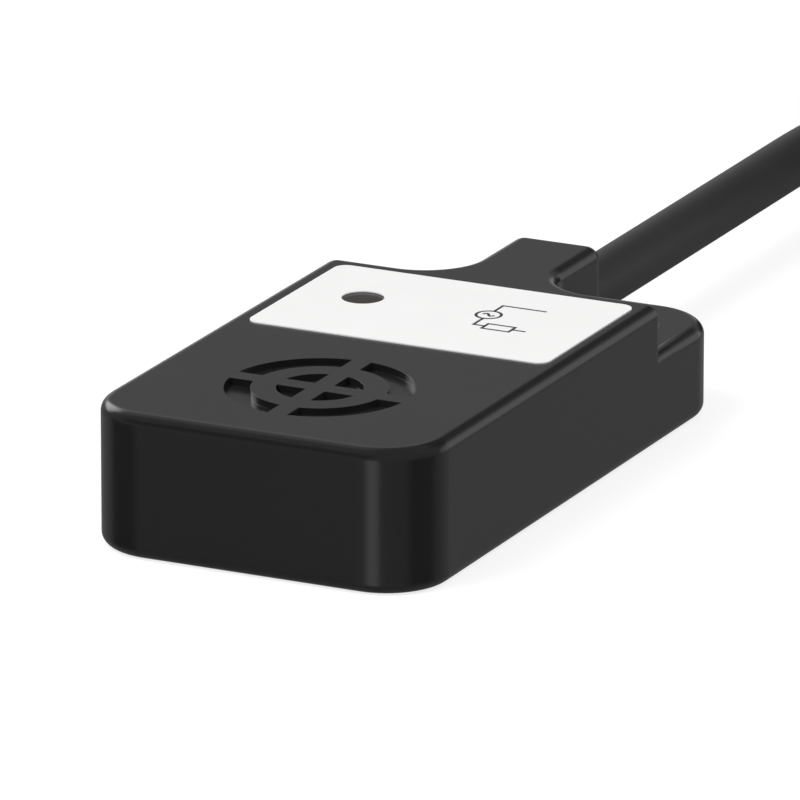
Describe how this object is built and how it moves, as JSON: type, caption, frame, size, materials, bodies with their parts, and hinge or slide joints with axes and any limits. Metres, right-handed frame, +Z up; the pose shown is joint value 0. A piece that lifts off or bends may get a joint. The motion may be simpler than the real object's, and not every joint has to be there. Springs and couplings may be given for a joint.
{
  "type": "proximity sensor",
  "caption": "Flat rectangular inductive proximity sensor with a marked sensing face, two mounting ears and a round cable.",
  "frame": {"origin": "centre of the sensor's underside, without its cable", "axes": "+X to the right across the width, +Y from the sensing end to the cable end, +Z up out of the marked sensing face"},
  "size_m": [0.041, 0.2001, 0.0195],
  "materials": {
    "case_plastic": "fine-textured black ABS, moulded",
    "cover_plastic": "satin black ABS plate",
    "label_film": "white polyester film with dark printing",
    "smoked_lens": "smoked translucent plastic",
    "led_body": "moulded white package with a clear dome",
    "ferrite": "ground sintered ferrite",
    "bobbin_plastic": "natural nylon",
    "copper_wire": "enamelled copper wire",
    "silicone_pad": "soft silicone pad",
    "board_laminate": "green solder mask on glass laminate",
    "chip_moulding": "black moulded epoxy",
    "varistor_coating": "blue epoxy coating",
    "capacitor_moulding": "ochre moulded epoxy",
    "capacitor_ceramic": "fired ceramic with tinned ends",
    "resistor_film": "black glazed film on ceramic",
    "diode_glass": "reddish glass-like body",
    "solder": "bright tin solder",
    "epoxy_resin": "dark potting epoxy, smooth poured surface",
    "bushing_rubber": "black moulded rubber",
    "clamp_steel": "plain crimped steel ring",
    "cable_jacket": "satin black PVC sheath",
    "brown_insulation": "brown PVC insulation",
    "blue_insulation": "blue PVC insulation",
    "tie_plastic": "white plastic-coated wire tie"
  },
  "bodies": {
    "root": {"upper_case": "case_plastic", "bottom_cover": "cover_plastic", "nameplate_label": "label_film", "indicator_lens": "smoked_lens", "indicator_led": "led_body", "ferrite_core": "ferrite", "coil_bobbin": "bobbin_plastic", "coil_winding": "copper_wire", "winding_ends": "copper_wire", "core_pad": "silicone_pad", "circuit_board": "board_laminate", "oscillator_chip": "chip_moulding", "bridge_rectifier": "chip_moulding", "output_thyristor": "chip_moulding", "surge_varistor": "varistor_coating", "smoothing_capacitor": "capacitor_moulding", "tuning_capacitors": "capacitor_ceramic", "chip_resistors": "resistor_film", "zener_diode": "diode_glass", "solder_joints": "solder", "potting_resin": "epoxy_resin", "cable_bushing": "bushing_rubber", "cable_clamp": "clamp_steel", "cable_inner_end": "cable_jacket", "inner_wire_brown": "brown_insulation", "inner_wire_blue": "blue_insulation", "cable_run": "cable_jacket", "cable_hank": "cable_jacket", "cable_tail": "cable_jacket", "hank_tie": "tie_plastic", "lead_brown": "brown_insulation", "lead_blue": "blue_insulation", "lead_tips": "solder"}
  },
  "joints": []
}
